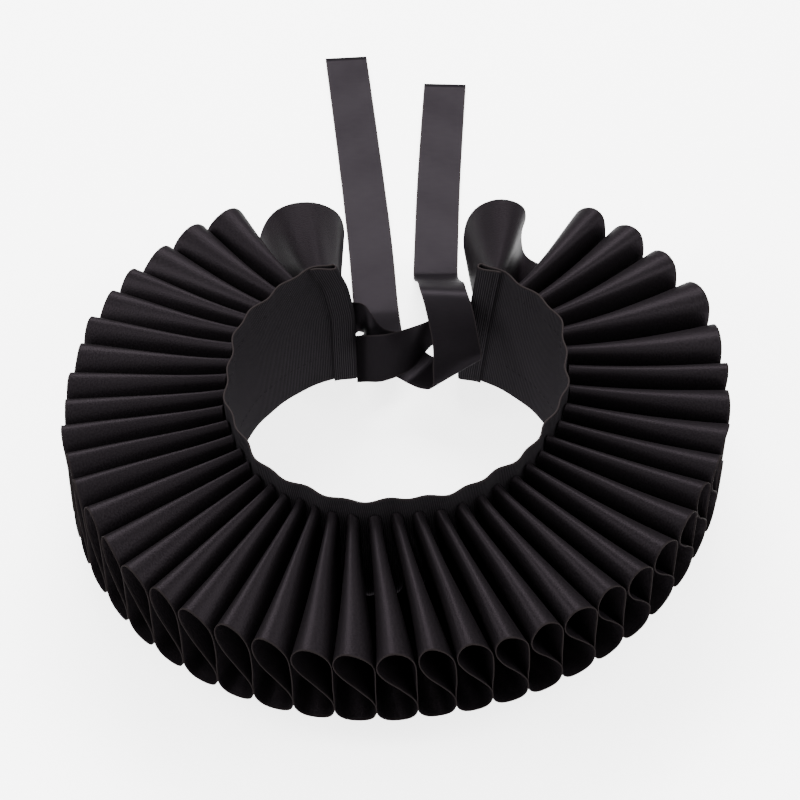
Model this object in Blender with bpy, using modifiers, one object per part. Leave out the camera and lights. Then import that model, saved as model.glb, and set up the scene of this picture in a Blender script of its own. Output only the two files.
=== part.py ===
"""Pleated ruff collar: one long satin strip, folded into S-shaped organ pleats, sewn round an
upright grosgrain neckband, with two satin ties that meet in a loose half knot at the back.

Run with blender --background --python part.py, or from Blender's text editor.
The script works in millimetres round the middle of the neck and scales to metres at the end.
Angles are degrees, from the back of the neck, round by the wearer's right, to the back again.
Left and right in names are those of a viewer in front of the collar.
"""
import math

import bpy
from mathutils import Vector

# Driving dimensions, in millimetres
MM = 0.001
CLOTH = 1.0
SEAM_GAP = 0.3
EDGE_CLEAR = 0.35
BAND_STEP = 2.1
WAVE = 0.75
WAVES_ROUND = 26
SWELL = 0.8
SWELLS_ROUND = 11
SWELL_START = 70.0
SEWN_SHARE = 0.15
FREE_FROM = 50.0
FREE_HEIGHT = 26.0
HEM = 9.5
HEM_SPACING = 2.8
HEM_CLOSED = CLOTH + SEAM_GAP
HEM_TURN_STEPS = 6
HEM_SHARES = (0.0, 0.35, 0.7, 1.0)
STRIP_SECTIONS = (0.0, 0.5, 1.0)
NECK_TOP = 68.0
NECK_FOOT = 14.0
TIE_WIDTH = 21.0
TIE_SEWN = 3.0
TIE_BEYOND = 1.6
TIE_HEIGHT = 36.0
TIE_LEVEL = 2
TIE_STEPS = 5

# The middle of the neck, so that the middle of the whole collar's base is the origin
NECK_CENTRE = (0.00027, -0.07316, 0.0)

# The neckband's two ends lean: the angles of the left and right end at each height
BAND_LEVELS = (
    (0.0, 16.6, 336.6),
    (4.0, 16.6, 336.6),
    (42.0, 17.2, 333.4),
    (60.0, 19.6, 331.8),
    (69.0, 22.2, 331.0),
    (76.0, 24.2, 330.4),
)

# Round the collar: angle, radius of the neckband, height of the pleats' tops at the rim, height
# of their feet there, and how far the strip reaches out. The cloth sags towards the two ends at
# the back, and where it curves it reaches less than its width.
RING_COLUMNS = ("angle", "neck_radius", "rim_top", "rim_foot", "reach")
RING = (
    (0, 72.0, 50, 8, 69.5),
    (30, 73.0, 56, 13, 69.5),
    (60, 74.0, 61, 17, 67.0),
    (90, 73.0, 64, 19, 69.0),
    (120, 74.5, 64, 19, 69.5),
    (150, 74.0, 64, 19, 69.5),
    (180, 69.5, 64, 19, 69.5),
    (210, 68.5, 65, 20, 69.5),
    (240, 68.5, 65, 21, 69.5),
    (270, 72.0, 64, 20, 69.5),
    (300, 77.0, 64, 18, 69.5),
    (330, 75.5, 55, 12, 69.5),
)

# One fold, from the foot of the wall that it shares with the fold before it, under the lower
# loop, back up the slanting leaf, over the upper loop and down the next shared wall.
# Columns: across and up at the rim, then across and up at the neck. Across is in folds, and up is
# a share of the height.
FOLD = (
    (0.000, 0.24, 0.020, 0.14),
    (0.060, 0.09, 0.060, 0.04),
    (0.300, 0.01, 0.250, 0.00),
    (0.640, 0.00, 0.500, 0.01),
    (0.850, 0.04, 0.720, 0.06),
    (0.915, 0.15, 0.790, 0.18),
    (0.840, 0.30, 0.750, 0.34),
    (0.570, 0.47, 0.660, 0.52),
    (0.270, 0.61, 0.560, 0.70),
    (0.095, 0.75, 0.500, 0.86),
    (0.085, 0.89, 0.560, 0.97),
    (0.240, 0.99, 0.680, 1.00),
    (0.480, 1.00, 0.820, 0.98),
    (0.750, 0.93, 0.930, 0.92),
    (0.930, 0.80, 0.985, 0.74),
    (0.995, 0.55, 1.000, 0.44),
)

# Where the pleats fan out, the leaf turns under lower down, so the upper loop is fuller.
FAN_FOLD = (
    (0.035, 0.21, 0.020, 0.14),
    (0.150, 0.07, 0.060, 0.04),
    (0.400, 0.00, 0.250, 0.00),
    (0.680, 0.01, 0.500, 0.01),
    (0.880, 0.06, 0.720, 0.06),
    (0.925, 0.14, 0.790, 0.18),
    (0.800, 0.24, 0.750, 0.34),
    (0.500, 0.34, 0.660, 0.52),
    (0.200, 0.45, 0.560, 0.70),
    (0.050, 0.60, 0.500, 0.86),
    (0.020, 0.80, 0.560, 0.97),
    (0.130, 0.97, 0.680, 1.00),
    (0.400, 1.00, 0.820, 0.98),
    (0.700, 0.90, 0.930, 0.92),
    (0.890, 0.70, 0.985, 0.74),
    (0.975, 0.45, 1.000, 0.44),
)
FAN = range(36, 42)

# The first fold has no slanting leaf: its free end hangs at the edge of the opening.
FIRST_FOLD = (
    (0.030, 0.03, 0.000, 0.05),
    (0.000, 0.25, 0.000, 0.30),
    (0.000, 0.50, 0.000, 0.56),
    (0.050, 0.74, 0.030, 0.80),
    (0.170, 0.91, 0.200, 0.94),
    (0.360, 1.00, 0.480, 1.00),
    (0.580, 0.99, 0.720, 0.99),
    (0.780, 0.91, 0.880, 0.93),
    (0.920, 0.73, 0.970, 0.75),
    (0.990, 0.47, 1.000, 0.45),
)

# The last fold stands open: its leaf is upright, and its free end hangs down again.
LAST_FOLD = (
    (0.020, 0.21, 0.020, 0.14),
    (0.100, 0.07, 0.100, 0.04),
    (0.220, 0.00, 0.250, 0.00),
    (0.350, 0.04, 0.400, 0.06),
    (0.425, 0.15, 0.470, 0.20),
    (0.450, 0.34, 0.480, 0.40),
    (0.445, 0.54, 0.480, 0.60),
    (0.415, 0.74, 0.480, 0.80),
    (0.435, 0.90, 0.550, 0.94),
    (0.540, 0.99, 0.680, 1.00),
    (0.700, 1.00, 0.820, 0.98),
    (0.860, 0.90, 0.930, 0.90),
    (0.960, 0.70, 0.985, 0.70),
    (1.000, 0.44, 1.000, 0.44),
    (1.000, 0.20, 1.000, 0.22),
    (0.980, 0.02, 1.000, 0.05),
)

# The top of each fold: its angle at the rim and at the neck
PLEAT_COLUMNS = ("rim", "neck")
PLEATS = (
    (18.8, 30.0), (36.4, 36.5), (41.5, 43.0), (50.0, 51.0), (57.5, 57.5), (63.7, 63.5),
    (71.9, 71.5), (77.6, 78.0), (86.0, 85.0), (91.5, 92.0), (98.1, 99.0), (104.4, 105.5),
    (110.2, 112.0), (116.4, 118.5), (123.8, 124.5), (130.7, 130.5), (137.4, 136.5),
    (144.0, 142.0), (151.0, 147.5), (157.4, 152.8), (164.6, 158.7), (171.4, 165.5),
    (178.5, 172.5), (185.4, 180.0), (191.8, 187.5), (198.2, 195.0), (204.6, 202.5),
    (211.2, 210.0), (218.1, 217.2), (224.6, 224.5), (231.6, 232.0), (239.4, 239.3),
    (246.8, 246.8), (253.2, 254.3), (260.0, 262.5), (268.0, 271.0), (276.2, 279.8),
    (281.7, 288.0), (293.8, 296.2), (304.4, 304.0), (313.2, 311.6), (321.4, 318.6),
    (339.0, 325.0),
)
RIM_PEAK = 0.30
NECK_PEAK = 0.68

# How much higher the tops of some folds stand at the rim, in millimetres
LIFTS = {0: -4.5, 40: 3.5, 41: 3.5, 42: -2.0}

# Walls at the two ends, that the tops don't give: the wall's number and its angle
END_WALLS = {
    "rim": {0: 10.6, 1: 26.9, 42: 327.2, 43: 347.0},
    "neck": {0: 21.8, 43: 329.0},
}

# The ties' routes beyond the neckband's ends, in millimetres from the middle of the neck at
# floor height. Columns: x, y and z of the ribbon's middle, then the way from there to its upper
# edge.
TIE_RIGHT = (
    (25.0, 70.2, 36.0, 0.0, -0.6, 10.4),
    (15.0, 62.8, 35.0, 0.0, -1.5, 10.3),
    (4.5, 56.2, 31.2, -1.0, 4.0, 9.1),
    (-6.0, 54.0, 28.0, 0.0, 8.0, 6.8),
    (-13.0, 54.0, 27.3, 0.0, 8.0, 6.8),
    (-16.8, 57.6, 23.2, -0.4, 8.0, 6.8),
    (-13.0, 62.8, 18.8, -1.8, 8.7, 5.6),
    (-9.0, 70.5, 17.0, -6.5, 7.8, 3.2),
    (-8.0, 80.0, 14.0, -10.2, 2.5, 1.0),
    (-8.8, 91.0, 7.0, -10.5, 0.5, 0.0),
    (-9.7, 103.0, 1.8, -10.5, -0.4, 0.0),
    (-10.8, 116.0, 0.5, -10.5, -0.7, 0.0),
    (-13.6, 155.0, 0.5, -10.5, -0.9, 0.0),
    (-19.3, 215.0, 0.5, -10.4, -1.0, 0.0),
    (-26.6, 286.0, 0.5, -10.4, -1.1, 0.0),
)
TIE_LEFT = (
    (-15.0, 67.8, 38.5, 0.5, -1.5, 10.3),
    (-9.8, 60.6, 25.8, 2.9, 6.8, 7.4),
    (1.5, 60.7, 22.3, 4.2, 8.0, 4.8),
    (9.3, 55.0, 19.4, 4.6, 8.1, 0.9),
    (18.5, 48.7, 21.3, 8.0, 5.9, 1.7),
    (25.6, 45.8, 26.0, 10.3, 4.8, 3.4),
    (26.5, 46.6, 33.2, 10.9, 2.1, 2.4),
    (25.8, 51.4, 41.4, 10.4, 0.3, 0.9),
    (22.8, 60.0, 53.3, 10.6, -0.8, 0.5),
    (20.2, 69.0, 56.2, 10.5, -0.9, 0.4),
    (19.4, 81.0, 48.5, 10.5, -0.6, 0.3),
    (18.6, 93.0, 37.0, 10.5, -0.2, 0.1),
    (18.0, 107.0, 23.5, 10.5, 0.0, 0.0),
    (17.8, 120.0, 11.0, 10.5, 0.2, 0.0),
    (17.8, 130.0, 3.0, 10.5, 0.3, 0.0),
    (17.9, 139.0, 0.5, 10.5, -0.2, 0.0),
    (19.8, 195.0, 0.5, 10.5, -0.5, 0.0),
    (23.6, 266.0, 0.5, 10.5, -0.6, 0.0),
)


def clear_scene():
    for old in list(bpy.data.objects):
        bpy.data.objects.remove(old, do_unlink=True)


def smooth(t):
    t = min(max(t, 0.0), 1.0)
    return t * t * (3.0 - 2.0 * t)


def between(before, start, end, after, t):
    """Catmull-Rom value between start and end."""
    bend = 2.0 * before - 5.0 * start + 4.0 * end - after
    twist = 3.0 * (start - end) + after - before
    return start + 0.5 * t * (end - before + t * (bend + t * twist))


def ring_value(column, angle):
    """A column of RING at any angle, round the closed ring."""
    step = 360.0 / len(RING)
    place, t = divmod(angle % 360.0, step)
    rows = [RING[(int(place) + shift) % len(RING)] for shift in (-1, 0, 1, 2)]
    return between(*(row[RING_COLUMNS.index(column)] for row in rows), t / step)


def buckle(angle, height):
    """How far the neckband leans out at a place: its free top edge waves, the sewn part less."""
    wave = WAVE * math.sin(math.radians(angle * WAVES_ROUND))
    swell = SWELL * math.sin(math.radians(angle * SWELLS_ROUND + SWELL_START))
    free = smooth((height - FREE_FROM) / FREE_HEIGHT)
    return (wave + swell) * (SEWN_SHARE + (1.0 - SEWN_SHARE) * free)


def band_radius(angle, height):
    return ring_value("neck_radius", angle) + buckle(angle, height)


def polar(radius, angle, height):
    """A point at an angle from the back of the neck, turning towards the wearer's right."""
    turn = math.radians(angle)
    return Vector((-radius * math.sin(turn), radius * math.cos(turn), height))


def wall_angles(column):
    """The angles of the shared walls: one more than there are folds."""
    peaks = [row[PLEAT_COLUMNS.index(column)] for row in PLEATS]
    share = {"rim": RIM_PEAK, "neck": NECK_PEAK}[column]
    walls = {i: a + (1.0 - share) * (b - a) for i, (a, b) in enumerate(zip(peaks, peaks[1:]), 1)}
    walls.update(END_WALLS[column])
    return [walls[i] for i in range(len(PLEATS) + 1)]


def fold_points(rows, rim, neck, lift):
    """The neck and rim points of one fold, between its two walls at the rim and at the neck."""
    points = []
    for rim_across, rim_up, neck_across, neck_up in rows:
        neck_angle = neck[0] + neck_across * (neck[1] - neck[0])
        neck_height = NECK_FOOT + neck_up * (NECK_TOP - NECK_FOOT)
        neck_radius = band_radius(neck_angle, neck_height) + CLOTH / 2 + SEAM_GAP + EDGE_CLEAR
        rim_angle = rim[0] + rim_across * (rim[1] - rim[0])
        top = ring_value("rim_top", rim_angle) + lift
        foot = ring_value("rim_foot", rim_angle)
        rim_height = foot + rim_up * (top - foot)
        inner = polar(neck_radius, neck_angle, neck_height)
        points.append((inner, rim_point(inner, rim_angle, rim_height)))
    return points


def rim_point(inner, angle, height):
    """The point at this angle and height that the strip reaches from the inner point."""
    across = polar(1.0, angle, 0.0)
    along = across.x * inner.x + across.y * inner.y
    off = inner.x ** 2 + inner.y ** 2 - along ** 2 + (height - inner.z) ** 2
    return polar(along + math.sqrt(ring_value("reach", angle) ** 2 - off), angle, height)


def fold_rows(index):
    if index == 0:
        return FIRST_FOLD
    if index == len(PLEATS) - 1:
        return LAST_FOLD
    return FAN_FOLD if index in FAN else FOLD


def ruff_points():
    rim, neck = wall_angles("rim"), wall_angles("neck")
    points = []
    for index in range(len(PLEATS)):
        lift = LIFTS.get(index, 0.0)
        points += fold_points(fold_rows(index), rim[index:index + 2], neck[index:index + 2], lift)
    return points


def make_material(name, colour, roughness, sheen):
    material = bpy.data.materials.new(name)
    material.use_nodes = True
    shader = material.node_tree.nodes["Principled BSDF"]
    shader.inputs["Base Color"].default_value = (*colour, 1.0)
    shader.inputs["Roughness"].default_value = roughness
    shader.inputs["Metallic"].default_value = 0.0
    shader.inputs["Sheen Weight"].default_value = sheen
    return material


def cloth_object(name, sections, material, parent, collection):
    """A wall of cloth: a grid through the sections, thickened evenly to both sides."""
    count = len(sections[0])
    vertices = [point * MM for section in sections for point in section]
    faces = []
    for row in range(len(sections) - 1):
        for column in range(count - 1):
            corner = row * count + column
            faces.append((corner, corner + 1, corner + count + 1, corner + count))
    mesh = bpy.data.meshes.new(name)
    mesh.from_pydata(vertices, [], faces)
    mesh.materials.append(material)
    mesh.shade_smooth()
    piece = bpy.data.objects.new(name, mesh)
    collection.objects.link(piece)
    piece.parent = parent
    wall = piece.modifiers.new("Cloth", "SOLIDIFY")
    wall.thickness = CLOTH * MM
    wall.offset = 0.0
    wall.use_even_offset = True
    return piece


def make_ruff(material, parent, collection):
    points = ruff_points()
    sections = [[inner.lerp(outer, share) for inner, outer in points] for share in STRIP_SECTIONS]
    return cloth_object("ruff", sections, material, parent, collection)


def hem_path(end, inward, height):
    """The folded hem at one end, in plan: the turn, then the leaf that lies inside the band."""
    radius = band_radius(end, height)
    turn = HEM_SPACING / 2
    per_mm = math.degrees(1.0 / radius) * inward
    path = []
    for step in range(1, HEM_TURN_STEPS):
        swing = math.pi * step / HEM_TURN_STEPS
        angle = end - per_mm * turn * math.sin(swing)
        path.append(polar(radius - turn * (1 - math.cos(swing)), angle, height))
    for share in HEM_SHARES:
        angle = end + per_mm * HEM * share
        spacing = HEM_SPACING + (HEM_CLOSED - HEM_SPACING) * smooth(share)
        path.append(polar(band_radius(angle, height) - spacing, angle, height))
    return path


def band_section(height, start, end):
    """The neckband in plan at one height, from the left hem's edge to the right hem's edge."""
    count = round((BAND_LEVELS[0][2] - BAND_LEVELS[0][1]) / BAND_STEP)
    angles = [start + (end - start) * i / count for i in range(count + 1)]
    ring = [polar(band_radius(angle, height), angle, height) for angle in angles]
    return hem_path(start, 1, height)[::-1] + ring + hem_path(end, -1, height)


def make_band(material, parent, collection):
    sections = [band_section(*level) for level in BAND_LEVELS]
    return cloth_object("neckband", sections, material, parent, collection)


def tie_root(end, inward):
    """The sewn start of a tie, on the outside of the neckband's end."""
    rows = []
    for angle in (end + inward * TIE_SEWN, end, end - inward * TIE_BEYOND):
        place = polar(band_radius(angle, TIE_HEIGHT) + CLOTH + SEAM_GAP, angle, TIE_HEIGHT)
        rows.append((*place, 0.0, 0.0, TIE_WIDTH / 2))
    return rows


def tie_sections(rows):
    """The three lines along a tie: lower edge, middle and upper edge, smooth between rows."""
    ends = [rows[0]] + list(rows) + [rows[-1]]
    lines = [[], [], []]
    for index in range(len(rows) - 1):
        for step in range(TIE_STEPS if index < len(rows) - 2 else TIE_STEPS + 1):
            t = step / TIE_STEPS
            values = [between(*(row[c] for row in ends[index:index + 4]), t) for c in range(6)]
            middle, edge = Vector(values[:3]), Vector(values[3:])
            middle.z = max(middle.z, CLOTH / 2)
            for line, side in zip(lines, (-1, 0, 1)):
                line.append(middle + edge * side)
    return lines


def make_tie(name, rows, material, parent, collection):
    return cloth_object(name, tie_sections(rows), material, parent, collection)


def main():
    clear_scene()
    collection = bpy.data.collections.new("ruff_collar")
    bpy.context.scene.collection.children.link(collection)
    neck = bpy.data.objects.new("neck_centre", None)
    neck.location = NECK_CENTRE
    collection.objects.link(neck)
    satin = make_material("black_satin", (0.012, 0.011, 0.013), 0.38, 0.2)
    grosgrain = make_material("black_grosgrain", (0.016, 0.015, 0.017), 0.7, 0.1)
    ribbon = make_material("black_ribbon", (0.030, 0.027, 0.030), 0.45, 0.2)
    make_ruff(satin, neck, collection)
    make_band(grosgrain, neck, collection)
    left, right = BAND_LEVELS[TIE_LEVEL][1:]
    make_tie("tie_left", tie_root(left, 1) + list(TIE_LEFT), ribbon, neck, collection)
    make_tie("tie_right", tie_root(right, -1) + list(TIE_RIGHT), ribbon, neck, collection)


main()
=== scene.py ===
# %% [markdown]
# # A pleated ruff collar in black satin
# This lesson dresses a plain model of a ruff collar: a long satin strip in S-shaped organ pleats,
# sewn round an upright grosgrain neckband, with two satin ties in a loose half knot. The plain
# model gives every size and place. Here each cloth becomes a thin sheet with a woven finish.

# %% Load the plain model
import math

import bmesh
import bpy
from mathutils import Matrix, Vector


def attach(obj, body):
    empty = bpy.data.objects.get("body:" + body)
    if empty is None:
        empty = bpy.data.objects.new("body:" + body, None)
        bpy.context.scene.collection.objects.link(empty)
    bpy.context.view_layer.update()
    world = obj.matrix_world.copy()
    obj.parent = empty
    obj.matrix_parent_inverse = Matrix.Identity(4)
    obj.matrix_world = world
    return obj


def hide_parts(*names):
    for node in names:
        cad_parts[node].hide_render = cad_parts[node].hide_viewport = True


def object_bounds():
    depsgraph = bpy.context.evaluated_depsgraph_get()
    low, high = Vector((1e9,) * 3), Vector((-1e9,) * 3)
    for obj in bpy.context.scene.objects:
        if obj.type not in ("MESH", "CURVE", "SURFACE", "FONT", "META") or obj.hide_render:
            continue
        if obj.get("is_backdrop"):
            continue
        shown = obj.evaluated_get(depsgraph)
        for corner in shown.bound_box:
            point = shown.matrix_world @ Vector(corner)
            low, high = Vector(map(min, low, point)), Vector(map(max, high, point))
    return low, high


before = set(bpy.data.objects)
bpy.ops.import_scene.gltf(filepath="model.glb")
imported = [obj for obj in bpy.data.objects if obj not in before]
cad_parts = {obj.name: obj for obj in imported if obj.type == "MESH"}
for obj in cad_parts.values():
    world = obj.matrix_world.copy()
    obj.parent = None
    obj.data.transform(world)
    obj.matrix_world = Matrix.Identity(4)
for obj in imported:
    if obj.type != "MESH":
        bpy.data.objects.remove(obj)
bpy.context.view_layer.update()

# %% [markdown]
# ## The studio
# The collar was seen from the front and above, through a long lens, on a bright table. A camera
# 1.3 m away with a 135 mm lens gives that view. The satin is nearly black, so what shows is
# mostly reflected light. A wide panel behind and above the collar puts the soft streaks on the
# tops of the pleats and on the flat ribbons, and weaker panels fill the sides.

# %% Camera, light panels and table
MM = 0.001
NECK = Vector((0.00027, -0.07316, 0.0))

VIEW_FROM = Vector((0.0009, -0.8594, 1.0242))
VIEW_TILT = 41.70
camera_data = bpy.data.cameras.new("camera")
camera_data.lens = 135.0
camera_data.sensor_width = 36.0
camera = bpy.data.objects.new("camera", camera_data)
camera.location = NECK + VIEW_FROM
camera.rotation_euler = (math.radians(VIEW_TILT), 0.0, 0.0)
bpy.context.scene.collection.objects.link(camera)
bpy.context.scene.camera = camera


def light_panel(name, place, aim, size, power):
    data = bpy.data.lights.new(name, "AREA")
    data.shape = "RECTANGLE"
    data.size, data.size_y = size
    data.energy = power
    panel = bpy.data.objects.new(name, data)
    panel.location = place
    panel.rotation_euler = (Vector(aim) - Vector(place)).to_track_quat("-Z", "Y").to_euler()
    bpy.context.scene.collection.objects.link(panel)
    return panel


light_panel("back_panel", (-0.10, 1.15, 1.30), (0.0, -0.05, 0.0), (1.1, 0.7), 68.0)
light_panel("left_panel", (-1.3, -0.2, 1.0), (0.0, -0.05, 0.0), (0.6, 0.8), 26.0)
light_panel("right_panel", (1.3, -0.2, 1.0), (0.0, -0.05, 0.0), (0.6, 0.8), 22.0)

world = bpy.data.worlds.new("studio")
world.use_nodes = True
world.node_tree.nodes["Background"].inputs["Color"].default_value = (1.0, 1.0, 1.0, 1.0)
world.node_tree.nodes["Background"].inputs["Strength"].default_value = 1.9
bpy.context.scene.world = world

TABLE_SIZE = 6.0
TABLE_DROP = 0.0002
table_mesh = bpy.data.meshes.new("table")
bm = bmesh.new()
bmesh.ops.create_grid(bm, x_segments=1, y_segments=1, size=TABLE_SIZE / 2)
bmesh.ops.translate(bm, verts=bm.verts, vec=(0.0, 0.0, -TABLE_DROP))
bm.to_mesh(table_mesh)
bm.free()
table = bpy.data.objects.new("table", table_mesh)
bpy.context.scene.collection.objects.link(table)
table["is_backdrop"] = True
print("camera", [round(x, 3) for x in camera.location])

# %% [markdown]
# ## Shader sums as Python
# A material is a tree of small nodes. Written out one by one they hide what is being worked out,
# so a small class lets Python's own signs add the Math nodes.


# %% A wire that can do sums
class Wire:
    """A node's output. Sums on it add Math nodes."""

    def __init__(self, tree, socket):
        self.tree = tree
        self.socket = socket

    def maths(self, operation, first, second):
        settings = {"operation": operation}
        return self.tree.add("ShaderNodeMath", settings, {0: first, 1: second})

    def __add__(self, other):
        return self.maths("ADD", self, other)

    __radd__ = __add__

    def __sub__(self, other):
        return self.maths("SUBTRACT", self, other)

    def __rsub__(self, other):
        return self.maths("SUBTRACT", other, self)

    def __mul__(self, other):
        return self.maths("MULTIPLY", self, other)

    __rmul__ = __mul__


class Finish:
    """A material under construction: a Principled shader and the nodes that feed it."""

    def __init__(self, name, **constants):
        self.material = bpy.data.materials.new(name)
        self.material.use_nodes = True
        self.nodes = self.material.node_tree.nodes
        self.links = self.material.node_tree.links
        self.shader = self.nodes["Principled BSDF"]
        for socket, value in constants.items():
            self.shader.inputs[socket.replace("_", " ")].default_value = value

    def add(self, kind, settings, inputs, output=0):
        node = self.nodes.new(kind)
        for name, value in settings.items():
            if name == "stops":
                self.set_stops(node.color_ramp, value)
            else:
                setattr(node, name, value)
        for socket, value in inputs.items():
            self.feed(node.inputs[socket], value)
        return Wire(self, node.outputs[output])

    def set_stops(self, ramp, stops):
        while len(ramp.elements) < len(stops):
            ramp.elements.new(0.5)
        for element, (place, shade) in zip(ramp.elements, stops):
            element.position = place
            element.color = (shade, shade, shade, 1.0)

    def feed(self, socket, value):
        if isinstance(value, Wire):
            self.links.new(value.socket, socket)
        else:
            socket.default_value = value

    def band(self, value, low, high):
        """0 below low, 1 above high, and smooth between."""
        settings = {"interpolation_type": "SMOOTHSTEP"}
        inputs = {"Value": value, "From Min": low, "From Max": high}
        return self.add("ShaderNodeMapRange", settings, inputs)

    def blend(self, share, first, second):
        settings = {"data_type": "RGBA"}
        node = {0: share, 6: (*first, 1.0) if isinstance(first, tuple) else first}
        node[7] = (*second, 1.0) if isinstance(second, tuple) else second
        return self.add("ShaderNodeMix", settings, node, output=2)

    def cloth_place(self):
        """How far along and across the cloth, in metres, from its UV map."""
        uv = self.add("ShaderNodeUVMap", {"uv_map": "cloth"}, {})
        split = self.add("ShaderNodeSeparateXYZ", {}, {0: uv})
        node = split.socket.node
        return uv, Wire(self, node.outputs[0]), Wire(self, node.outputs[1])

    def noise(self, vector, stretch, detail=2.0):
        """Noise with so many cells a metre along and across the cloth."""
        scaled = self.add("ShaderNodeMapping", {}, {"Vector": vector, "Scale": (*stretch, 1.0)})
        inputs = {"Vector": scaled, "Scale": 1.0, "Detail": detail}
        return self.add("ShaderNodeTexNoise", {}, inputs)

    def bump(self, height, depth, strength=1.0):
        inputs = {"Height": height, "Distance": depth, "Strength": strength}
        self.feed(self.shader.inputs["Normal"], self.add("ShaderNodeBump", {}, inputs))


table_finish = Finish("pale_table", Roughness=0.7)
table_finish.shader.inputs["Emission Color"].default_value = (1.0, 1.0, 1.0, 1.0)
table_finish.shader.inputs["Base Color"].default_value = (0.88, 0.88, 0.88, 1.0)
table_finish.shader.inputs["Emission Strength"].default_value = 3.4
table_mesh.materials.append(table_finish.material)
print("table finish ready")

# %% [markdown]
# ## The black satin
# Satin hides its weave under long floats, so it is smooth and gives broad soft streaks. A woven
# ribbon's edge is a tighter, duller selvedge, which reads as a thin paler line along the rim of
# each pleat. It comes from the distance across the strip, which the UV map holds in metres, and
# only the rim has it, because the strip's other edge is sewn in. A plain black shader turns white
# where it is seen at a glancing angle. Real black cloth doesn't, so part of its shine is that of a
# dark metal, with a grey tint that dulls the glancing edge.

# %% Satin
STRIP_WIDTH = 69.5 * MM
SELVEDGE = 0.9 * MM
DULL_EDGE = (0.47, 0.47, 0.47, 1.0)

satin = Finish("black_satin", Specular_IOR_Level=0.0, Specular_Tint=DULL_EDGE, Metallic=0.6)
uv, _, across = satin.cloth_place()
inside = satin.band(STRIP_WIDTH - across, 0.35 * SELVEDGE, SELVEDGE)
floats = satin.band(satin.noise(uv, (700.0, 1500.0), 3.0), 0.35, 0.65)
clouds = satin.noise(uv, (55.0, 30.0), 3.0)
body = satin.blend(clouds, (0.0058, 0.0047, 0.0056), (0.0084, 0.0070, 0.0081))
grained = satin.blend(floats * 0.5, body, (0.0135, 0.0116, 0.0131))
satin.feed(satin.shader.inputs["Base Color"], satin.blend(inside, (0.0110, 0.0090, 0.0092), grained))
satin.feed(satin.shader.inputs["Roughness"], 0.62 - inside * 0.22 + floats * 0.06)
satin.bump(floats + inside * 1.4, 0.00006, 0.6)
print("satin nodes:", len(satin.nodes))

# %% [markdown]
# ## The grosgrain
# Grosgrain is a stiff ribbon with fine ribs across it, which stand upright here because the
# ribbon runs round the neck. The ribs are 0.8 mm apart: too fine to model one by one, so a sine
# along the ribbon lifts them in the bump and also paints them: lighter crests as painted highlight, darker
# grooves as painted shade.

# %% Grosgrain
RIB_PITCH = 0.8 * MM
BAND_HEIGHT = 76.0 * MM

grosgrain = Finish("black_grosgrain", Specular_IOR_Level=0.0, Specular_Tint=DULL_EDGE, Metallic=0.3)
uv, along, across = grosgrain.cloth_place()
from_edge = grosgrain.add("ShaderNodeMath", {"operation": "MINIMUM"}, {0: across, 1: BAND_HEIGHT - across})
inside = grosgrain.band(from_edge, 0.3 * SELVEDGE, 0.8 * SELVEDGE)
ribs = grosgrain.add("ShaderNodeMath", {"operation": "SINE"}, {0: along * (2.0 * math.pi / RIB_PITCH)})
ribs = ribs * 0.5 + 0.5
threads = grosgrain.noise(uv, (1300.0, 5200.0))
clouds = grosgrain.noise(uv, (40.0, 40.0), 3.0)
body = grosgrain.blend(clouds, (0.0012, 0.0010, 0.0013), (0.0022, 0.0019, 0.0023))
# Painted light and shade: the rib crests get a lighter colour as a painted highlight and the grooves between
# them a darker one as painted shade, with a little thread noise mixed in.
painted_rib_shading = grosgrain.blend(ribs * 0.8 + threads * 0.2, body, (0.0215, 0.0195, 0.0217))
edged = grosgrain.blend(inside, (0.0170, 0.0140, 0.0142), painted_rib_shading)
grosgrain.feed(grosgrain.shader.inputs["Base Color"], edged)
grosgrain.feed(grosgrain.shader.inputs["Roughness"], 0.78 - ribs * 0.12)
grosgrain.bump(ribs * inside + threads * 0.25, 0.00016, 0.9)
print("grosgrain nodes:", len(grosgrain.nodes))

# %% [markdown]
# ## The tie ribbon
# The ties are a narrower satin ribbon. Its fine threads across the width catch the light as faint
# bars, and lying flat it reflects the back panel, so it looks greyer than the ruff.

# %% Tie ribbon
TIE_WIDTH = 21.0 * MM

ribbon = Finish("black_ribbon", Specular_IOR_Level=0.0, Specular_Tint=DULL_EDGE, Metallic=0.45)
uv, _, across = ribbon.cloth_place()
from_edge = ribbon.add("ShaderNodeMath", {"operation": "MINIMUM"}, {0: across, 1: TIE_WIDTH - across})
inside = ribbon.band(from_edge, 0.3 * SELVEDGE, 0.8 * SELVEDGE)
bars = ribbon.noise(uv, (2600.0, 160.0))
clouds = ribbon.noise(uv, (45.0, 60.0), 3.0)
body = ribbon.blend(clouds, (0.0062, 0.0053, 0.0063), (0.0098, 0.0084, 0.0098))
barred = ribbon.blend(bars * 0.6, body, (0.0120, 0.0105, 0.0120))
ribbon.feed(ribbon.shader.inputs["Base Color"], ribbon.blend(inside, (0.0180, 0.0150, 0.0160), barred))
ribbon.feed(ribbon.shader.inputs["Roughness"], 0.50 - inside * 0.12 + clouds * 0.05)
ribbon.bump(bars + inside, 0.00006, 0.5)
print("ribbon nodes:", len(ribbon.nodes))

# %% [markdown]
# ## Curves and the shape of the neck
# All cloths follow the plain model's own numbers: the radius of the neckband round the neck, the
# sag of the pleats towards the back, and smooth curves through short tables. Angles are degrees
# from the back of the neck, round by the wearer's right.

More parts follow.
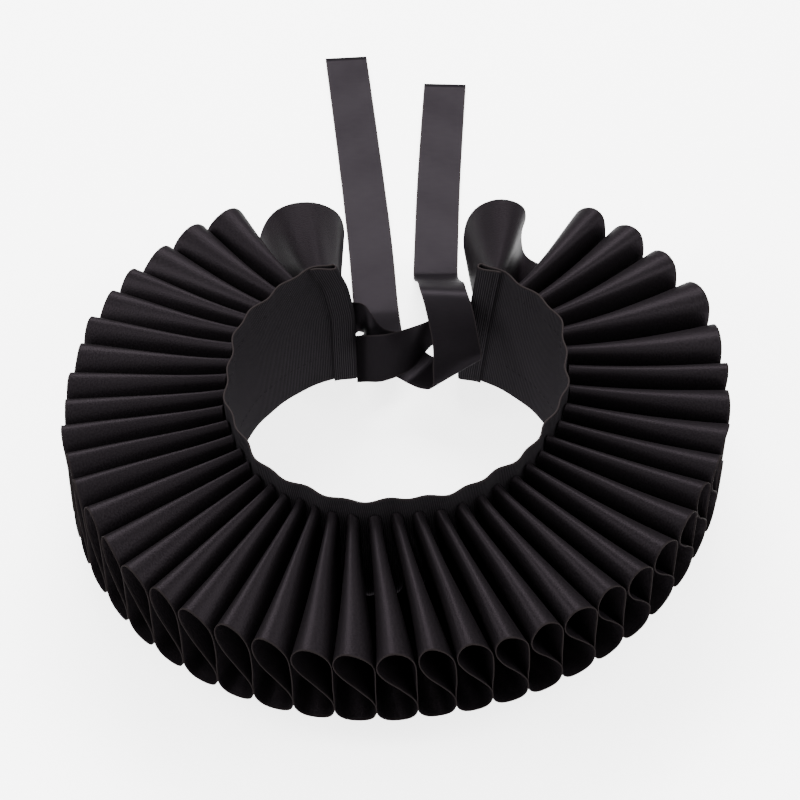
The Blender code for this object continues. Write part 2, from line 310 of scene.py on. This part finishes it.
# %% The neckband's ring
RING_COLUMNS = ("angle", "neck_radius", "rim_top", "rim_foot", "reach")
RING = (
    (0, 72.0, 50, 8, 69.5),
    (30, 73.0, 56, 13, 69.5),
    (60, 74.0, 61, 17, 67.0),
    (90, 73.0, 64, 19, 69.0),
    (120, 74.5, 64, 19, 69.5),
    (150, 74.0, 64, 19, 69.5),
    (180, 69.5, 64, 19, 69.5),
    (210, 68.5, 65, 20, 69.5),
    (240, 68.5, 65, 21, 69.5),
    (270, 72.0, 64, 20, 69.5),
    (300, 77.0, 64, 18, 69.5),
    (330, 75.5, 55, 12, 69.5),
)


WAVE, WAVES_ROUND = 0.75, 26
SWELL, SWELLS_ROUND, SWELL_START = 0.8, 11, 70.0
SEWN_SHARE, FREE_FROM, FREE_HEIGHT = 0.15, 50.0, 26.0


def smooth(t):
    t = min(max(t, 0.0), 1.0)
    return t * t * (3.0 - 2.0 * t)


def between(before, start, end, after, t):
    """A smooth curve from start to end that knows its neighbours."""
    bend = 2.0 * before - 5.0 * start + 4.0 * end - after
    twist = 3.0 * (start - end) + after - before
    return start + 0.5 * t * (end - before + t * (bend + t * twist))


def ring_value(column, angle):
    step = 360.0 / len(RING)
    place, t = divmod(angle % 360.0, step)
    rows = [RING[(int(place) + shift) % len(RING)] for shift in (-1, 0, 1, 2)]
    return between(*(row[RING_COLUMNS.index(column)] for row in rows), t / step)


def band_radius(angle, height):
    """The neckband leans in and out: its free top edge waves most, the sewn part less."""
    wave = WAVE * math.sin(math.radians(angle * WAVES_ROUND))
    swell = SWELL * math.sin(math.radians(angle * SWELLS_ROUND + SWELL_START))
    free = smooth((height - FREE_FROM) / FREE_HEIGHT)
    return ring_value("neck_radius", angle) + (wave + swell) * (SEWN_SHARE + (1.0 - SEWN_SHARE) * free)


def polar(radius, angle, height):
    turn = math.radians(angle)
    return Vector((-radius * math.sin(turn), radius * math.cos(turn), height))


print("neck radius at the front:", round(band_radius(180.0, 0.0), 1), "mm")

# %% [markdown]
# ## A sheet of cloth from a grid
# Every cloth starts as Blender's own grid, one square cell for each small piece of cloth. A
# function then moves each corner to its place on the folded cloth. The grid keeps its UV map, now
# in metres of cloth, so the weave follows every fold. The first and last rows lie very close to
# the edge, so that the light rolls over the edge and not over the whole last cell.

# %% Grid to cloth
EDGE_ROWS = (0.0, 0.004, 0.016, 0.05)


def edged_rows(middle):
    """Shares across a cloth: close rows at both edges and even rows between."""
    inner = [EDGE_ROWS[-1] + (1.0 - 2.0 * EDGE_ROWS[-1]) * i / middle for i in range(1, middle)]
    return list(EDGE_ROWS) + inner + [1.0 - share for share in reversed(EDGE_ROWS)]


def cloth_sheet(name, lines, shares, size, thickness, finish):
    """lines[column][row] are points in mm round the neck; size is the cloth's length and width."""
    columns, rows = len(lines) - 1, len(shares) - 1
    mesh = bpy.data.meshes.new(name)
    bm = bmesh.new()
    layer = bm.loops.layers.uv.new("cloth")
    bmesh.ops.create_grid(bm, x_segments=columns, y_segments=rows, size=0.5)
    for corner in bm.verts:
        column = round((corner.co.x + 0.5) * columns)
        row = round((corner.co.y + 0.5) * rows)
        for loop in corner.link_loops:
            loop[layer].uv = (column / columns * size[0], shares[row] * size[1])
        corner.co = NECK + lines[column][row] * MM
    for face in bm.faces:
        face.smooth = True
    bm.to_mesh(mesh)
    bm.free()
    mesh.materials.append(finish.material)
    piece = bpy.data.objects.new(name, mesh)
    bpy.context.scene.collection.objects.link(piece)
    wall = piece.modifiers.new("thickness", "SOLIDIFY")
    wall.thickness = thickness * MM
    wall.offset = 0.0
    wall.use_even_offset = True
    print(name, columns, "by", rows, "cells,", [round(x, 3) for x in size], "m flat")
    return piece


def line_length(points):
    return sum((b - a).length for a, b in zip(points, points[1:])) * MM


# %% [markdown]
# ## The pleats
# One strip of ribbon makes every pleat: up over a loop, down a shared wall, under a lower loop and
# back up a slanting leaf. Its cross-section is a small table at the rim and another at the neck,
# where the loops are pinched, and each pleat's angle has a row of its own. The two end pleats
# stand more open than the others, the second pleat is squeezed beside the first, and six fan out
# at the back.

# %% Fold tables
FOLD = (
    (0.005, 0.24, 0.020, 0.14),
    (0.050, 0.09, 0.060, 0.04),
    (0.280, 0.01, 0.250, 0.00),
    (0.660, 0.00, 0.560, 0.01),
    (0.920, 0.04, 0.840, 0.06),
    (1.014, 0.15, 0.985, 0.18),
    (0.930, 0.29, 0.900, 0.33),
    (0.590, 0.47, 0.690, 0.52),
    (0.250, 0.62, 0.500, 0.70),
    (0.045, 0.76, 0.380, 0.85),
    (0.040, 0.89, 0.400, 0.96),
    (0.210, 0.99, 0.540, 1.00),
    (0.460, 1.00, 0.740, 0.99),
    (0.750, 0.93, 0.910, 0.94),
    (0.950, 0.80, 0.985, 0.78),
    (0.998, 0.55, 1.000, 0.44),
)
FAN_FOLD = (
    (0.005, 0.24, 0.020, 0.14),
    (0.060, 0.09, 0.060, 0.04),
    (0.300, 0.01, 0.250, 0.00),
    (0.660, 0.00, 0.560, 0.01),
    (0.910, 0.04, 0.840, 0.06),
    (0.975, 0.13, 0.930, 0.18),
    (0.860, 0.24, 0.860, 0.33),
    (0.540, 0.35, 0.690, 0.52),
    (0.200, 0.46, 0.500, 0.70),
    (0.045, 0.60, 0.380, 0.85),
    (0.025, 0.80, 0.400, 0.96),
    (0.140, 0.96, 0.540, 1.00),
    (0.420, 1.00, 0.740, 0.99),
    (0.730, 0.92, 0.910, 0.94),
    (0.930, 0.74, 0.985, 0.78),
    (0.990, 0.48, 1.000, 0.44),
)
FAN = range(36, 42)
SQUEEZE, SQUEEZED_ABOVE = 0.72, 0.6
SECOND_FOLD = tuple(
    (1.0 - (1.0 - rim_across) * SQUEEZE if rim_up > SQUEEZED_ABOVE else rim_across, rim_up, *neck)
    for rim_across, rim_up, *neck in FOLD
)
FIRST_FOLD = (
    (0.030, 0.03, 0.000, 0.05),
    (0.000, 0.25, 0.000, 0.30),
    (0.000, 0.50, 0.000, 0.56),
    (0.050, 0.74, 0.030, 0.80),
    (0.170, 0.91, 0.200, 0.94),
    (0.360, 1.00, 0.480, 1.00),
    (0.580, 0.99, 0.720, 0.99),
    (0.780, 0.91, 0.880, 0.93),
    (0.920, 0.73, 0.970, 0.75),
    (0.990, 0.47, 1.000, 0.45),
)
LAST_FOLD = (
    (0.020, 0.21, 0.020, 0.14),
    (0.100, 0.07, 0.100, 0.04),
    (0.220, 0.00, 0.250, 0.00),
    (0.350, 0.04, 0.400, 0.06),
    (0.425, 0.15, 0.470, 0.20),
    (0.450, 0.34, 0.480, 0.40),
    (0.445, 0.54, 0.480, 0.60),
    (0.415, 0.74, 0.480, 0.80),
    (0.435, 0.90, 0.550, 0.94),
    (0.540, 0.99, 0.680, 1.00),
    (0.700, 1.00, 0.820, 0.98),
    (0.860, 0.90, 0.930, 0.90),
    (0.960, 0.70, 0.985, 0.70),
    (1.000, 0.44, 1.000, 0.44),
    (1.000, 0.20, 1.000, 0.22),
    (0.980, 0.02, 1.000, 0.05),
)
PLEAT_COLUMNS = ("rim", "neck")
PLEATS = (
    (18.8, 30.0), (36.4, 36.5), (41.5, 43.0), (50.0, 51.0), (57.5, 57.5), (63.7, 63.5),
    (71.9, 71.5), (77.6, 78.0), (86.0, 85.0), (91.5, 92.0), (98.1, 99.0), (104.4, 105.5),
    (110.2, 112.0), (116.4, 118.5), (123.8, 124.5), (130.7, 130.5), (137.4, 136.5),
    (144.0, 142.0), (151.0, 147.5), (157.4, 152.8), (164.6, 158.7), (171.4, 165.5),
    (178.5, 172.5), (185.4, 180.0), (191.8, 187.5), (198.2, 195.0), (204.6, 202.5),
    (211.2, 210.0), (218.1, 217.2), (224.6, 224.5), (231.6, 232.0), (239.4, 239.3),
    (246.8, 246.8), (253.2, 254.3), (260.0, 262.5), (268.0, 271.0), (276.2, 279.8),
    (281.7, 288.0), (293.8, 296.2), (304.4, 304.0), (313.2, 311.6), (321.4, 318.6),
    (339.0, 325.0),
)
PEAK_SHARE = {"rim": 0.30, "neck": 0.68}
END_WALLS = {
    "rim": {0: 10.6, 1: 26.9, 2: 38.0, 3: 46.2, 42: 327.2, 43: 347.0},
    "neck": {0: 21.8, 43: 329.0},
}
LIFTS = {0: -4.5, 40: 3.5, 41: 3.5, 42: -2.0}
NECK_TOP = 68.0
NECK_FOOT = 14.0
STANDS_OFF = 1.15


def wall_angles(column):
    peaks = [row[PLEAT_COLUMNS.index(column)] for row in PLEATS]
    share = 1.0 - PEAK_SHARE[column]
    walls = {i: a + share * (b - a) for i, (a, b) in enumerate(zip(peaks, peaks[1:]), 1)}
    walls.update(END_WALLS[column])
    return [walls[i] for i in range(len(PLEATS) + 1)]


def rim_point(inner, angle, height):
    """The rim lies one strip's width from the neck, or less where the cloth curves."""
    across = polar(1.0, angle, 0.0)
    along = across.x * inner.x + across.y * inner.y
    off = inner.x ** 2 + inner.y ** 2 - along ** 2 + (height - inner.z) ** 2
    return polar(along + math.sqrt(ring_value("reach", angle) ** 2 - off), angle, height)


def fold_rows(index):
    if index == 0:
        return FIRST_FOLD
    if index == 1:
        return SECOND_FOLD
    if index == len(PLEATS) - 1:
        return LAST_FOLD
    return FAN_FOLD if index in FAN else FOLD


def fold_points(rows, rim, neck, lift):
    points = []
    for rim_across, rim_up, neck_across, neck_up in rows:
        neck_angle = neck[0] + neck_across * (neck[1] - neck[0])
        neck_height = NECK_FOOT + neck_up * (NECK_TOP - NECK_FOOT)
        inner = polar(band_radius(neck_angle, neck_height) + STANDS_OFF, neck_angle, neck_height)
        rim_angle = rim[0] + rim_across * (rim[1] - rim[0])
        top, foot = ring_value("rim_top", rim_angle) + lift, ring_value("rim_foot", rim_angle)
        points.append((inner, rim_point(inner, rim_angle, foot + rim_up * (top - foot))))
    return points


rim_walls, neck_walls = wall_angles("rim"), wall_angles("neck")
strip_points, strip_folds = [], []
for index in range(len(PLEATS)):
    rows = fold_rows(index)
    walls = rim_walls[index:index + 2], neck_walls[index:index + 2]
    strip_points += fold_points(rows, *walls, LIFTS.get(index, 0.0))
    strip_folds += [index + (place + 0.5) / len(rows) for place in range(len(rows))]
print(len(PLEATS), "pleats from", len(strip_points), "lines across the strip")

# %% [markdown]
# ## Life in the pleats
# Real loops are never straight cones. Each one leans a little, rises to a soft crown between the
# neck and the rim, and has long soft creases that break up its streak of light. The two open end
# pleats have no crown, and creases of their own. These moves are sines along and across the strip.
# The crowns rise about three quarters of a millimetre, the other moves are at most about half a
# millimetre, and all fade to nothing at the neck seam.

# %% The ruff
STRIP_STEPS = 3
STRIP_ROWS = edged_rows(9)
SWAY, SWAY_BEND, SWAY_STEP = 0.45, 2.2, 0.25
BULGE, UPPER_FROM, FADE = 0.12, 0.45, 0.1
CROWN, CROWN_FROM, CROWN_TO, CROWN_FADE, CROWN_NEAR = 0.75, 0.52, 0.96, 0.08, 0.6
CREASE, CREASE_WAVES, CREASE_SHIFT, CREASE_STEP, CREASE_FULL = 0.30, 3.5, 0.37, 5.3, 1.15
END_CREASE, END_WAVES = 0.45, 5.0


def refined(values, steps):
    """More values on a smooth curve through these ones."""
    padded = [values[0]] + list(values) + [values[-1]]
    fine = []
    for i in range(len(values) - 1):
        fine += [between(*padded[i:i + 4], step / steps) for step in range(steps)]
    return fine + [values[-1]]


inner_line = refined([inner for inner, outer in strip_points], STRIP_STEPS)
outer_line = refined([outer for inner, outer in strip_points], STRIP_STEPS)
fold_line = refined(strip_folds, STRIP_STEPS)


def strip_column(i):
    inner, outer, fold = inner_line[i], outer_line[i], fold_line[i]
    low, high = max(i - 1, 0), min(i + 1, len(inner_line) - 1)
    at_end = fold < CROWN_TO or fold > len(PLEATS) - CROWN_TO
    within = fold % 1.0
    upper, crown = 1.0, 0.0
    if not at_end:
        upper = smooth((within - UPPER_FROM) / FADE)
        crown = smooth((within - CROWN_FROM) / FADE) * smooth((CROWN_TO - within) / CROWN_FADE)
    column = []
    for share in STRIP_ROWS:
        point = inner.lerp(outer, share)
        before = inner_line[low].lerp(outer_line[low], share)
        after = inner_line[high].lerp(outer_line[high], share)
        out = (outer - inner).cross(after - before).normalized()
        reach = math.sin(math.pi * min(share * CREASE_FULL, 1.0) * 0.5) ** 2
        belly = math.sin(math.pi * share)
        sway = SWAY * belly * math.sin(SWAY_BEND * share + SWAY_STEP * fold)
        arch = math.sin(math.pi * share ** CROWN_NEAR)
        if at_end:
            crease = END_CREASE * belly * math.sin(math.tau * END_WAVES * within)
        else:
            phase = CREASE_WAVES * within + CREASE_SHIFT * math.sin(CREASE_STEP * int(fold))
            crease = CREASE * reach * math.sin(math.tau * phase)
        around = polar(1.0, 90.0 + math.degrees(math.atan2(-point.x, point.y)), 0.0)
        swell = BULGE * belly * (2.0 * upper - 1.0) + CROWN * arch * crown
        column.append(point + around * sway - out * (swell + crease * upper))
    return column


strip_lines = [strip_column(i) for i in range(len(inner_line))]
STRIP_LENGTH = line_length([column[-1] for column in strip_lines])
print("strip", round(STRIP_LENGTH, 3), "m at the rim,", round(line_length(inner_line), 3), "m at the neck")
ruff = cloth_sheet("ruff_satin", strip_lines, STRIP_ROWS, (STRIP_LENGTH, STRIP_WIDTH), 0.35, satin)

# %% [markdown]
# ## The neckband
# The band stands on its lower edge, with a hem turned in at each end. Its top edge waves between
# the stitches that hold the pleats.

# %% The neckband
BAND_LEVELS = (
    (0.0, 16.6, 336.6),
    (4.0, 16.6, 336.6),
    (42.0, 17.2, 333.4),
    (60.0, 19.6, 331.8),
    (69.0, 22.2, 331.0),
    (76.0, 24.2, 330.4),
)
BAND_STEP = 0.8
BAND_CLOTH = 0.6
HEM = 9.5
HEM_SPACING = 2.8
HEM_CLOSED = 1.3
HEM_TURN_STEPS, HEM_STEPS = 12, 8
BAND_ROWS = edged_rows(14)


def level_ends(height):
    """The angles of the band's two ends at a height."""
    for low, high in zip(BAND_LEVELS, BAND_LEVELS[1:]):
        if height <= high[0] + MM:
            t = (height - low[0]) / (high[0] - low[0])
            return [low[side] + t * (high[side] - low[side]) for side in (1, 2)]


def hem_path(end, inward, height):
    radius = band_radius(end, height)
    turn = HEM_SPACING / 2
    per_mm = math.degrees(1.0 / radius) * inward
    path = []
    for step in range(1, HEM_TURN_STEPS):
        swing = math.pi * step / HEM_TURN_STEPS
        angle = end - per_mm * turn * math.sin(swing)
        path.append(polar(radius - turn * (1 - math.cos(swing)), angle, height))
    for step in range(HEM_STEPS + 1):
        share = step / HEM_STEPS
        angle = end + per_mm * HEM * share
        spacing = HEM_SPACING + (HEM_CLOSED - HEM_SPACING) * smooth(share)
        path.append(polar(band_radius(angle, height) - spacing, angle, height))
    return path


def band_line(height):
    start, end = level_ends(height)
    count = round((BAND_LEVELS[0][2] - BAND_LEVELS[0][1]) / BAND_STEP)
    angles = [start + (end - start) * i / count for i in range(count + 1)]
    ring = [polar(band_radius(angle, height), angle, height) for angle in angles]
    return hem_path(start, 1, height)[::-1] + ring + hem_path(end, -1, height)


band_rows = [band_line(share * BAND_HEIGHT / MM) for share in BAND_ROWS]
band_lines = [list(column) for column in zip(*band_rows)]
BAND_LENGTH = line_length(band_rows[0])
band_size = (BAND_LENGTH, BAND_HEIGHT)
neckband = cloth_sheet("neckband_grosgrain", band_lines, BAND_ROWS, band_size, BAND_CLOTH, grosgrain)

# %% [markdown]
# ## The ties
# A table gives each tie's middle and the way to its upper edge, at a few places along it. The
# right tie passes in front of the left one, turns back behind it and lies away to the left; the
# left tie passes under it, folds up in front and humps over to the right. A ribbon on a table
# isn't flat to the last millimetre, so the tails have faint ripples.

# %% Tie tables
TIE_RIGHT = (
    (25.0, 70.2, 36.0, 0.0, -0.6, 10.4),
    (15.0, 62.8, 35.0, 0.0, -1.5, 10.3),
    (4.5, 56.2, 31.2, -1.0, 4.0, 9.1),
    (-6.0, 54.0, 28.0, 0.0, 8.0, 6.8),
    (-14.6, 54.0, 27.3, 0.0, 8.0, 6.8),
    (-18.7, 57.6, 23.2, -0.4, 8.0, 6.8),
    (-14.2, 62.8, 18.8, -1.8, 8.7, 5.6),
    (-9.0, 70.5, 17.0, -6.5, 7.8, 3.2),
    (-8.0, 80.0, 14.0, -10.2, 2.5, 1.0),
    (-8.8, 91.0, 7.0, -10.5, 0.5, 0.0),
    (-9.7, 103.0, 1.8, -10.5, -0.4, 0.0),
    (-10.8, 116.0, 0.5, -10.5, -0.7, 0.0),
    (-13.6, 155.0, 0.5, -10.5, -0.9, 0.0),
    (-19.3, 215.0, 0.5, -10.4, -1.0, 0.0),
    (-26.6, 286.0, 0.5, -10.4, -1.1, 0.0),
)
TIE_LEFT = (
    (-15.0, 67.8, 38.5, 0.5, -1.5, 10.3),
    (-9.8, 60.6, 25.8, 2.9, 6.8, 7.4),
    (1.5, 60.7, 22.3, 4.2, 8.0, 4.8),
    (9.3, 55.0, 19.4, 4.6, 8.1, 0.9),
    (18.5, 48.7, 21.3, 8.0, 5.9, 1.7),
    (25.6, 45.8, 26.0, 10.3, 4.8, 3.4),
    (26.5, 46.6, 33.2, 10.9, 2.1, 2.4),
    (25.8, 51.4, 41.4, 10.4, 0.3, 0.9),
    (22.8, 60.0, 53.3, 10.6, -0.8, 0.5),
    (20.2, 69.0, 56.2, 10.5, -0.9, 0.4),
    (19.4, 81.0, 48.5, 10.5, -0.6, 0.3),
    (18.6, 93.0, 37.0, 10.5, -0.2, 0.1),
    (18.0, 107.0, 23.5, 10.5, 0.0, 0.0),
    (17.8, 120.0, 11.0, 10.5, 0.2, 0.0),
    (17.8, 130.0, 3.0, 10.5, 0.3, 0.0),
    (17.9, 139.0, 0.5, 10.5, -0.2, 0.0),
    (19.8, 195.0, 0.5, 10.5, -0.5, 0.0),
    (23.6, 266.0, 0.5, 10.5, -0.6, 0.0),
)
TIE_HEIGHT = 36.0
TIE_SEWN = 3.0
TIE_BEYOND = 1.6
TIE_STANDS_OFF = 1.3
TIE_ENDS = BAND_LEVELS[2][1:]

# %% The ties
TIE_STEPS = 16
TIE_ROWS = edged_rows(6)
TIE_CLOTH = 0.3
TIE_LIFT = 0.3
TAIL_LOW = 12.0
RIPPLES = ((0.5, 0.19, 1.3, 1.0), (0.4, 0.083, -0.9, 2.0))


def tie_root(end, inward):
    rows = []
    for angle in (end + inward * TIE_SEWN, end, end - inward * TIE_BEYOND):
        place = polar(band_radius(angle, TIE_HEIGHT) + TIE_STANDS_OFF, angle, TIE_HEIGHT)
        rows.append((*place, 0.0, 0.0, TIE_WIDTH / MM / 2))
    return rows


def tie_lines(rows, phase):
    fine = [refined([row[c] for row in rows], TIE_STEPS) for c in range(6)]
    lines = []
    for x, y, z, edge_x, edge_y, edge_z in zip(*fine):
        middle, edge = Vector((x, y, z)), Vector((edge_x, edge_y, edge_z))
        low = 1.0 - smooth((z - 0.5) / TAIL_LOW)
        column = []
        for share in TIE_ROWS:
            side = 2.0 * share - 1.0
            ripple = sum(
                size + size * math.sin(y * along + across * side + turn * phase)
                for size, along, across, turn in RIPPLES
            )
            point = middle + edge * side
            point.z = max(point.z - TIE_LIFT, TIE_CLOTH / 2) + TIE_LIFT * low * ripple
            column.append(point)
        lines.append(column)
    return lines


ties = {}
for name, table_rows, end, inward, phase in (
    ("tie_left_ribbon", TIE_LEFT, TIE_ENDS[0], 1, 0.4),
    ("tie_right_ribbon", TIE_RIGHT, TIE_ENDS[1], -1, 2.1),
):
    lines = tie_lines(tie_root(end, inward) + list(table_rows), phase)
    length = line_length([column[len(column) // 2] for column in lines])
    ties[name] = (cloth_sheet(name, lines, TIE_ROWS, (length, TIE_WIDTH), TIE_CLOTH, ribbon), length)

# %% [markdown]
# ## The stitches
# Two rows of stitches show on the inside of the neckband, where they hold the roots of the
# pleats, and one row closes each hem. A stitch is a small spindle of thread, half sunk in the
# cloth. There are hundreds, so each has only two dozen faces.

# %% Stitches
STITCH = Vector((1.15, 0.17, 0.17))
STITCH_PITCH = 3.3
ROW_HEIGHTS = (17.0, 65.5)
ROW_MARGIN = 11.0
HEM_ROW = 0.72


def stitch(bm, place, along):
    """One spindle of thread at a place, lying along a direction."""
    out = Vector((place.x, place.y, 0.0)).normalized()
    side = along.cross(out).normalized()
    turn = Matrix((along.normalized(), side, out)).transposed().to_4x4()
    size = Matrix.Diagonal((STITCH.x, STITCH.y, STITCH.z, 1.0))
    spot = Matrix.Translation(NECK + place * MM) @ Matrix.Scale(MM, 4) @ turn @ size
    # A sphere's poles lie along its own Z, so it is turned to lie along X first
    lay = Matrix.Rotation(math.radians(90.0), 4, "Y")
    bmesh.ops.create_uvsphere(bm, u_segments=6, v_segments=4, radius=1.0, matrix=spot @ lay)


thread = Finish("black_thread", Specular_IOR_Level=0.0, Specular_Tint=DULL_EDGE, Metallic=0.3, Roughness=0.5)
place = thread.add("ShaderNodeTexCoord", {}, {}, output="Object")
twist = thread.noise(place, (2500.0, 2500.0))
yarn = thread.blend(twist, (0.0060, 0.0054, 0.0060), (0.0130, 0.0118, 0.0128))
thread.feed(thread.shader.inputs["Base Color"], yarn)

stitch_mesh = bpy.data.meshes.new("stitches")
bm = bmesh.new()
for height in ROW_HEIGHTS:
    start, end = level_ends(height)
    step = math.degrees(STITCH_PITCH / RING[0][1])
    for i in range(int((end - start - 2 * ROW_MARGIN) / step)):
        angle = start + ROW_MARGIN + i * step
        radius = band_radius(angle, height) - BAND_CLOTH / 2
        stitch(bm, polar(radius, angle, height), polar(1.0, angle - 90.0, 0.0))
for side, inward in ((0, 1), (1, -1)):
    for i in range(int(BAND_HEIGHT / MM / STITCH_PITCH) - 1):
        height = STITCH_PITCH * (i + 1)
        end = level_ends(height)[side]
        angle = end + math.degrees(HEM * HEM_ROW / band_radius(end, height)) * inward
        spacing = HEM_SPACING + (HEM_CLOSED - HEM_SPACING) * smooth(HEM_ROW)
        radius = band_radius(angle, height) - spacing - BAND_CLOTH / 2
        stitch(bm, polar(radius, angle, height), Vector((0.0, 0.0, 1.0)))
for face in bm.faces:
    face.smooth = True
print("stitches:", len(bm.faces) // 24, "with", len(bm.faces), "faces")
bm.to_mesh(stitch_mesh)
bm.free()
stitch_mesh.materials.append(thread.material)
stitches = bpy.data.objects.new("stitches", stitch_mesh)
bpy.context.scene.collection.objects.link(stitches)
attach(stitches, "root")

# %% [markdown]
# ## What each piece stands for
# Every cloth rides on the plain model's one body and hides the plain solid that it stands for.

# %% Pieces
for piece, node, finish in (
    (ruff, "ruff", "satin"),
    (neckband, "neckband", "grosgrain"),
    (ties["tie_left_ribbon"][0], "tie_left", "ribbon"),
    (ties["tie_right_ribbon"][0], "tie_right", "ribbon"),
):
    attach(piece, "root")
    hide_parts(node)

# %% Sizes and the end
dressed_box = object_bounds()
corners = [[round(x, 4) for x in corner] for corner in dressed_box]
print("dressed model from", corners[0], "to", corners[1])
